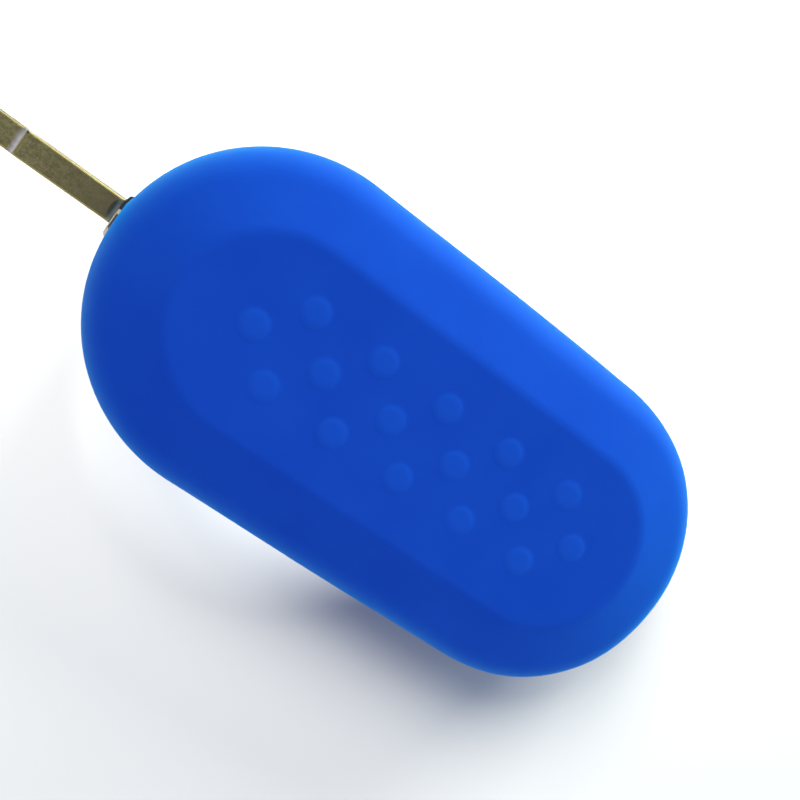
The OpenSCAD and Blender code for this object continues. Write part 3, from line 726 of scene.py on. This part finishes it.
def silicone_shell(mat):
    """The whole cover: its outer and inner skin, the lips of the slot, the dots and the openings."""
    profile = Profile()
    skin = Skin()
    marks = profile.marks
    top = profile.length_at(SLOT_HIGH) - LIP
    low = profile.length_at(SLOT_LOW) + LIP
    rows = steps_between([0, marks[1], marks[2], top, low, marks[3], marks[4], marks[5]], ROW_COUNTS)
    first = SLOT_END - LIP
    last = SLOT_START + LIP
    knots = [0, first, ARC, ARC + SIDE, SLOT_START - LIP_OVER_RUN[3], last, 2 * ARC + SIDE, AROUND]
    counts = [max(2, round((b - a) / COLUMN_STEP)) for a, b in zip(knots, knots[1:])]
    columns = steps_between(knots, counts)[:-1]
    r0, r1 = rows.index(top), rows.index(low)
    c0, c1 = columns.index(first), columns.index(last)
    box = (first, last, top, low)

    def shift(i, j):
        """How far a point near the slot moves, so that the rows and columns follow its corners."""
        ci = min(max(i, r0), r1)
        cj = min(max(j, c0), c1)
        away = max(abs(i - ci), abs(j - cj))
        if away >= SLOT_SPREAD or r0 < ci < r1 and c0 < cj < c1:
            return 0, 0
        u, v = slot_corner(columns[cj], rows[ci], box, SLOT_ROUND + LIP)
        share = 1 - away / SLOT_SPREAD
        return (u - columns[cj]) * share, (v - rows[ci]) * share

    def surface(depth):
        """One skin of the cover at a depth, open at the slot, as its points by row and column."""
        grid = {}
        for i, v in enumerate(rows):
            for j, u in enumerate(columns):
                if r0 < i < r1 and c0 < j < c1:
                    continue
                du, dv = shift(i, j)
                grid[i, j] = skin.ring([wall_point(profile, u + du, v + dv, depth)])[0]
        for i in range(len(rows) - 1):
            for j in range(len(columns)):
                k = (j + 1) % len(columns)
                if r0 <= i < r1 and c0 <= j < c1:
                    continue
                skin.faces.append((grid[i, j], grid[i, k], grid[i + 1, k], grid[i + 1, j]))
        return grid

    edge = ([(r0, j) for j in range(c0, c1)] + [(i, c1) for i in range(r0, r1)]
            + [(r1, j) for j in range(c1, c0, -1)] + [(i, c0) for i in range(r1, r0, -1)])
    outer = surface(0)
    inner = surface(WALL)
    before = [outer[key] for key in edge]
    for k in range(1, 2 * LIP_STEPS + 1):
        turn = min(k, 2 * LIP_STEPS - k) / LIP_STEPS * math.pi / 2
        grow = LIP * (1 - math.sin(turn))
        depth = LIP * (1 - math.cos(turn))
        if k > LIP_STEPS:
            depth = WALL - depth
        if k == 2 * LIP_STEPS:
            after = [inner[key] for key in edge]
        else:
            places = []
            tight = (first + LIP - grow, last - LIP + grow, top + LIP - grow, low - LIP + grow)
            for i, j in edge:
                u = lerp(tight[0], tight[1], (columns[j] - first) / (last - first))
                v = lerp(tight[2], tight[3], (rows[i] - top) / (low - top))
                u, v = slot_corner(u, v, tight, SLOT_ROUND + grow)
                places.append(wall_point(profile, u, v, depth))
            after = skin.ring(places)
        skin.bridge(before, after)
        before = after

    def face_ring(grid, row, shrink):
        """A ring just inside the edge of a flat face."""
        start = [grid[row, j] for j in range(len(columns))]
        z = skin.points[start[0]].z
        r = profile.at(rows[row])[0].x - shrink
        return skin.band(start, [[(*around(u, r), z) for u in columns]])

    spots = [((i - (n - 1) / 2) * DOT_PITCH + DOT_SHIFT[0], side * DOT_ROW_GAP + DOT_SHIFT[1])
             for n, side in DOT_ROWS for i in range(n)]
    holes = []
    for spot in spots:
        hole = skin.ring(circle_ring(spot, DOT_FOOT_R + PLAIN_RING, COVER_H))
        holes.append(hole)
        radii = [DOT_FOOT_R * t for t in DOT_RINGS]
        end = skin.band(hole, [circle_ring(spot, r, COVER_H + dot_height(r)) for r in radii])
        skin.fan(end, (*spot, COVER_H + DOT_H))
    skin.fill(face_ring(outer, 0, PLAIN_RING), holes)
    skin.fill([inner[0, j] for j in range(len(columns))], [])

    pad_path = rounded_path([(DISH_W + 0.5, 0), (DISH_W, 0), (DISH_W - 0.25, DISH_D), (PAD_GAP, DISH_D),
                             (PAD_GAP, WALL)], DISH_ROUNDS)
    outside = []
    within = []
    for _, x in PADS:
        hole = skin.ring(pad_ring(x, pad_path[0].x, pad_path[0].y))
        outside.append(hole)
        within.append(skin.band(hole, [pad_ring(x, p.x, p.y) for p in pad_path[1:]]))
    release_path = rounded_path([(RELEASE_HOLE_R + RELEASE_HOLE_EDGE, 0), (RELEASE_HOLE_R, 0),
                                 (RELEASE_HOLE_R, WALL)], [RELEASE_HOLE_ROUND], 6)
    hole = skin.ring(circle_ring(PIVOT, release_path[0].x, 0))
    outside.append(hole)
    within.append(skin.band(hole, [circle_ring(PIVOT, p.x, p.y) for p in release_path[1:]]))
    skin.fill([outer[len(rows) - 1, j] for j in range(len(columns))], outside)
    skin.fill([inner[len(rows) - 1, j] for j in range(len(columns))], within)
    shell = skin.piece("cover_shell", "fob", mat)
    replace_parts(shell, "silicone_cover")


# Key pads

def crowned_pad(name, x, body, mat):
    """A key pad with a low crown, a rounded edge and a base that is seated on its cap."""
    skin = Skin()
    corners = [(0, PAD_BASE), (0, PAD_TOP + PAD_CROWN), (-PAD_CROWN_RUN, PAD_TOP)]
    edge = rounded_path(corners, [PAD_ROUND], 6)
    rings = [pad_ring(x, p.x, p.y) for p in edge]
    rings += [pad_ring(x, edge[-1].x, PAD_TOP, t) for t in PAD_RINGS]
    first = skin.ring(rings[0])
    skin.cap(first)
    skin.fan(skin.band(first, rings[1:]), (x, 0, PAD_TOP))
    pad = skin.piece(name + "_pad_skin", body, mat)
    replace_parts(pad, name + "_pad")


def pad_web(name, x, mat):
    """The thin web of silicone that joins a pad to the cover."""
    skin = Skin()
    path = [(PAD_GAP + 0.1, 0.5), (PAD_GAP - 0.03, 0.6), (-0.02, 0.95), (-0.12, 1.05),
            (-0.12, 1.25), (0.0, 1.12), (PAD_GAP, 0.8), (PAD_GAP + 0.1, 0.7)]
    first = skin.ring(pad_ring(x, *path[0]))
    last = skin.band(first, [pad_ring(x, *p) for p in path[1:]])
    skin.bridge(last, first)
    web = skin.piece(name + "_web", None, mat)
    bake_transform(web)


def stroke(skin, path, closed=False):
    """A raised line of the icons along a flat path, on the pad's outer face."""
    path = [Vector(p) for p in path]
    half = ICON_LINE / 2
    low, high = PAD_TOP + half, PAD_TOP - ICON_H
    section = ((-1, low), (-1, high + ICON_ROUND), (-ICON_FLAT, high),
               (ICON_FLAT, high), (1, high + ICON_ROUND), (1, low))
    rings = []
    n = len(path)
    for i, p in enumerate(path):
        before = path[i - 1] if closed or i else p
        after = path[(i + 1) % n] if closed or i < n - 1 else p
        a = (p - before).normalized() if p != before else (after - p).normalized()
        b = (after - p).normalized() if after != p else a
        run = (a + b).normalized()
        side = Vector((-run.y, run.x)) / max(run.dot(b), MITRE_LIMIT)
        rings.append([(*(p + side * half * s), z) for s, z in section])
    first = skin.ring(rings[0])
    last = skin.band(first, rings[1:])
    if closed:
        skin.bridge(last, first)
    else:
        skin.cap(first)
        skin.cap(last)


def arc(centre, radius, start, end, n=10):
    """Points along an arc from one angle to another."""
    return [(centre[0] + radius * math.cos(lerp(start, end, i / n)),
             centre[1] + radius * math.sin(lerp(start, end, i / n))) for i in range(n + 1)]


def rounded_box(centre, width, height, radius):
    """A flat box with rounded corners, as a closed path."""
    points = []
    for k in range(4):
        cx = centre[0] + (1, -1, -1, 1)[k] * (width / 2 - radius)
        cy = centre[1] + (1, 1, -1, -1)[k] * (height / 2 - radius)
        points += arc((cx, cy), radius, k * math.pi / 2, (k + 1) * math.pi / 2, 4)
    return points


def padlock(skin, x, swing):
    """A padlock seen from the front, with its shackle swung aside by swing."""
    stroke(skin, rounded_box((x, -0.8), 3.2, 2.4, 0.4), closed=True)
    hoop = [(x + swing - 1.0, 0.4 if not swing else 0.9)]
    hoop += arc((x + swing, 1.1), 1.0, math.pi, 0)
    hoop.append((x + swing + 1.0, 0.4))
    stroke(skin, hoop)
    stroke(skin, [(x, -0.45), (x, -1.15)])


def open_boot(skin, x):
    """The tail of a car with its lid raised."""
    tail = arc((x + 1.6, -0.35), 0.5, math.pi / 2, 0, 4)
    back = [(x - 2.2, 0.1), (x - 0.9, 0.2), (x - 0.2, 0.15)]
    floor = [(x + 2.1, -1.5), (x - 2.2, -1.5)]
    stroke(skin, back + tail + floor)
    stroke(skin, [(x - 0.2, 0.15), (x + 0.5, 1.2), (x + 1.7, 1.6)])


def key_pads(mat):
    """The three pads with their webs and icons: a padlock, an open boot and an open padlock."""
    for name, x in PADS:
        body = name + "_button"
        crowned_pad(name, x, body, mat)
        pad_web(name, x, mat)
        skin = Skin()
        if name == "boot":
            open_boot(skin, x)
        else:
            padlock(skin, x, SHACKLE_SWING if name == "unlock" else 0)
        skin.piece(name + "_icon", body, mat)


# Release button and its spring

def release_cap(mat):
    """The release button, turned round its axis: a dished face with a skirt."""
    low, high = release_low.z, release_high.z
    inner = RELEASE_R - SKIRT_WALL
    corners = [(CAP_MIDDLE_R, low + CAP_DISH), (RELEASE_R * 0.6, low + CAP_DISH * 0.5),
               (RELEASE_R * 0.86, low), (RELEASE_R, low), (RELEASE_R, high), (inner, high),
               (inner, low + CAP_FACE), (CAP_MIDDLE_R, low + CAP_FACE)]
    face = rounded_path(corners, [*CAP_DISH_ROUNDS, CAP_ROUND, SKIRT_ROUND, SKIRT_ROUND, CAP_FACE_ROUND], 6)
    skin = Skin()
    rings = [circle_ring(PIVOT, p.x, p.y, CAP_STEPS) for p in face]
    first = skin.ring(rings[0])
    skin.fan(first, (*PIVOT, low + CAP_DISH))
    skin.fan(skin.band(first, rings[1:]), (*PIVOT, low + CAP_FACE))
    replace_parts(skin.piece("release_cap", "release", mat), "release_button")


def coil_spring(mat):
    """The flip spring as a wound wire."""
    low, high = (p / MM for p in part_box("flip_spring"))
    radius = (high.x - low.x) / 2 - WIRE_R
    start, end = low.z + WIRE_R, high.z - WIRE_R
    steps = TURN_STEPS * SPRING_TURNS
    skin = Skin()
    rings = []
    for i in range(steps + 1):
        t = i / steps
        a = TURN * SPRING_TURNS * t
        out = Vector((math.cos(a), math.sin(a), 0))
        middle = Vector((*PIVOT, lerp(start, end, t))) + out * radius
        rings.append([middle + (out * math.cos(b) + Vector((0, 0, 1)) * math.sin(b)) * WIRE_R
                      for b in (TURN * k / WIRE_SIDES for k in range(WIRE_SIDES))])
    first = skin.ring(rings[0])
    skin.cap(first)
    skin.cap(skin.band(first, rings[1:]))
    wire = skin.piece("spring_wire", "blade", mat)
    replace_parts(wire, "flip_spring")
    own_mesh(wire)


# Camera, which stands where the photo was taken from

CAMERA_AT = (-18.842, 4.604, 84.415)
CAMERA_RIGHT = (0.79402, 0.58791, 0.15459)
CAMERA_DOWN = (0.56909, -0.8083, 0.15095)
FOCAL_PIXELS = 681.6
FRAME_PIXELS = 800
SENSOR_W = 36
CLIP_NEAR = 5
CLIP_FAR = 20000


def add_camera():
    """Places the camera and turns it by the solved right and down axes."""
    data = bpy.data.cameras.new("camera")
    data.sensor_width = SENSOR_W
    data.lens = FOCAL_PIXELS / FRAME_PIXELS * data.sensor_width
    data.clip_start = CLIP_NEAR * MM
    data.clip_end = CLIP_FAR * MM
    camera = bpy.data.objects.new("camera", data)
    right = Vector(CAMERA_RIGHT).normalized()
    up = -Vector(CAMERA_DOWN)
    up = (up - right * up.dot(right)).normalized()
    back = right.cross(up)
    turn = Matrix((right, up, back)).transposed()
    camera.matrix_world = Matrix.Translation(Vector(CAMERA_AT) * MM) @ turn.to_4x4()
    bpy.context.scene.collection.objects.link(camera)
    bpy.context.scene.camera = camera


# Floor, by half its size, with the colour that is seen and the one that lights the object from below
FLOOR_HALF = 1500
FLOOR_SEEN = (0.268, 0.302, 0.41)
FLOOR_BOUNCE = (0.32, 0.32, 0.32)

# The floor runs into the white of the backdrop between these distances from the object
FLOOR_FADE = (120, 260)


def far_off(mat, seen):
    """Turns the floor white, for the rays that are seen, where it lies far from the object."""
    nodes, links, shader = tree_of(mat)
    where = nodes.new("ShaderNodeTexCoord")
    reach = nodes.new("ShaderNodeVectorMath")
    reach.operation = "LENGTH"
    links.new(where.outputs["Object"], reach.inputs[0])
    far = spread(mat, reach.outputs["Value"], FLOOR_FADE[0] * MM, FLOOR_FADE[1] * MM)
    white = nodes.new("ShaderNodeEmission")
    mix = nodes.new("ShaderNodeMixShader")
    links.new(combine(mat, "MULTIPLY", far, seen), mix.inputs["Fac"])
    links.new(shader.outputs["BSDF"], mix.inputs[1])
    links.new(white.outputs["Emission"], mix.inputs[2])
    links.new(mix.outputs["Shader"], nodes["Material Output"].inputs["Surface"])


def add_floor():
    """The table top, with its own colour for what is seen and another for the light it throws back."""
    mat = new_material("floor", FLOOR_BOUNCE, roughness=0.9, specular_ior_level=0.1)
    nodes, links, _ = tree_of(mat)
    seen = nodes.new("ShaderNodeLightPath")
    direct = nodes.new("ShaderNodeMath")
    direct.operation = "MAXIMUM"
    links.new(seen.outputs["Is Camera Ray"], direct.inputs[0])
    links.new(seen.outputs["Is Glossy Ray"], direct.inputs[1])
    tint(mat, direct.outputs[0], FLOOR_BOUNCE, FLOOR_SEEN)
    far_off(mat, direct.outputs[0])
    corners = ((-1, -1), (1, -1), (1, 1), (-1, 1))
    mesh = bpy.data.meshes.new("floor")
    mesh.from_pydata([Vector((x, y, 0)) * FLOOR_HALF * MM for x, y in corners], [], [(0, 1, 2, 3)])
    mesh.materials.append(mat)
    floor = bpy.data.objects.new("floor", mesh)
    bpy.context.scene.collection.objects.link(floor)
    return floor


def add_lamp(name, at, size, power, color, aim):
    """A square or oblong lamp, placed in millimetres and turned towards its aim."""
    data = bpy.data.lights.new(name, "AREA")
    data.color = color
    data.shape = "RECTANGLE"
    data.size = size[0] * MM
    data.size_y = size[1] * MM
    data.energy = power
    lamp = bpy.data.objects.new(name, data)
    lamp.location = Vector(at) * MM
    lamp.rotation_euler = (Vector(aim) - Vector(at)).to_track_quat("-Z", "Y").to_euler()
    bpy.context.scene.collection.objects.link(lamp)
    return lamp


# Even light from all round, which changes in strength between two heights of the sky
WORLD_COLOR = (0.93, 0.96, 1, 1)
WORLD_SIDES = 0.9
WORLD_ABOVE = 0.6
WORLD_SPAN = (0.7, 0.95)

# Lamp that brings out the dots, by its place, its size, its power, its colour and its aim
SIDE_LAMP = ((70, 420, 70), (500, 160), 2.7, (0.88, 1.33, 1), (0, 0, 9))

# Lamps that reach the floor alone, for the shadow on it
SHADOW_LAMPS = (("shadow_light", (-160, 152, 205), (140, 140), 3.8),
                ("tail_light", (15, 300, 112), (160, 120), 3.8))
SHADOW_COLOR = (1, 0.87, 0.57)

# Soft spot on the floor under the end that the photo shows raised
LIFT_AT = (-10, -6)
LIFT_HEIGHT = 300
LIFT_REACH = 28.5
LIFT_POWER = 14.5
LIFT_COLOR = (1, 0.91, 0.64)


def add_lights(floor):
    """The sky, the lamp from the side and the lamps that light only the floor."""
    world = bpy.data.worlds.new("world")
    world.use_nodes = True
    nodes, links = world.node_tree.nodes, world.node_tree.links
    ground = nodes["Background"]
    ground.inputs["Color"].default_value = WORLD_COLOR
    where = nodes.new("ShaderNodeTexCoord")
    parts = nodes.new("ShaderNodeSeparateXYZ")
    links.new(where.outputs["Generated"], parts.inputs["Vector"])
    fade = nodes.new("ShaderNodeMapRange")
    fade.inputs["From Min"].default_value, fade.inputs["From Max"].default_value = WORLD_SPAN
    fade.inputs["To Min"].default_value = WORLD_SIDES
    fade.inputs["To Max"].default_value = WORLD_ABOVE
    links.new(parts.outputs["Z"], fade.inputs["Value"])
    links.new(fade.outputs["Result"], ground.inputs["Strength"])
    bpy.context.scene.world = world
    add_lamp("side_light", *SIDE_LAMP)
    only_floor = bpy.data.collections.new("only_floor")
    only_floor.objects.link(floor)
    only_cover = bpy.data.collections.new("only_cover")
    only_cover.objects.link(bpy.data.objects["cover_shell"])
    for name, at, size, power in SHADOW_LAMPS:
        lamp = add_lamp(name, at, size, power, SHADOW_COLOR, aim=(0, 0, 0))
        lamp.light_linking.receiver_collection = only_floor
        lamp.light_linking.blocker_collection = only_cover
    spot = bpy.data.lights.new("lift_light", "SPOT")
    spot.energy = LIFT_POWER
    spot.color = LIFT_COLOR
    spot.spot_size = 2 * math.atan(LIFT_REACH / LIFT_HEIGHT)
    spot.spot_blend = 1
    spot.shadow_soft_size = 0
    lamp = bpy.data.objects.new("lift_light", spot)
    lamp.location = Vector((*LIFT_AT, LIFT_HEIGHT)) * MM
    bpy.context.scene.collection.objects.link(lamp)
    lamp.light_linking.receiver_collection = only_floor
    lamp.light_linking.blocker_collection = only_floor


# The whole scene

bpy.context.scene.view_settings.view_transform = "Standard"

blue = silicone()
silicone_shell(blue)
key_pads(blue)

# Material of each slot in the record
FINISHES = {
    "case": plastic("case_black", (0.02, 0.02, 0.022), 0.5, 12, 0.02),
    "hub": plastic("hub_black", (0.03, 0.025, 0.027), 0.32, 16, 0.008),
    "collar": collar_satin(),
    "blade": blade_brass(),
    "steel": metal("steel", (0.6, 0.6, 0.62), 0.35, 5),
    "spring": metal("spring_steel", (0.55, 0.55, 0.57), 0.3, 4),
    "release": plastic("release_gloss", (0.03, 0.03, 0.034), 0.16, 20, 0.004),
    "caps": plastic("cap_black", (0.05, 0.05, 0.055), 0.5, 12, 0.01),
    "plungers": plastic("plunger_white", (0.7, 0.7, 0.67), 0.45, 12, 0.01),
    "switches": plastic("switch_dark", (0.08, 0.08, 0.08), 0.4, 12, 0.01),
    "board": plastic("board_green", (0.02, 0.16, 0.07), 0.3, 4, 0.01),
    "cell": metal("cell_nickel", (0.66, 0.66, 0.67), 0.25, 6),
    "contacts": metal("contact_brass", (0.72, 0.6, 0.32), 0.3, 6),
    "chips": plastic("chip_black", (0.03, 0.03, 0.034), 0.55, 14, 0.01),
    "coil": plastic("coil_copper", (0.32, 0.13, 0.05), 0.35, 6, 0.05),
    "silicone": blue,
}
release_cap(FINISHES["release"])
coil_spring(FINISHES["spring"])
slots = {row["node"]: row["material_slot"] for row in frame["record"]["subparts"]}
for name, node in frame["nodes"].items():
    node.data.materials.clear()
    node.data.materials.append(FINISHES[slots[name]])

add_camera()
add_lights(add_floor())
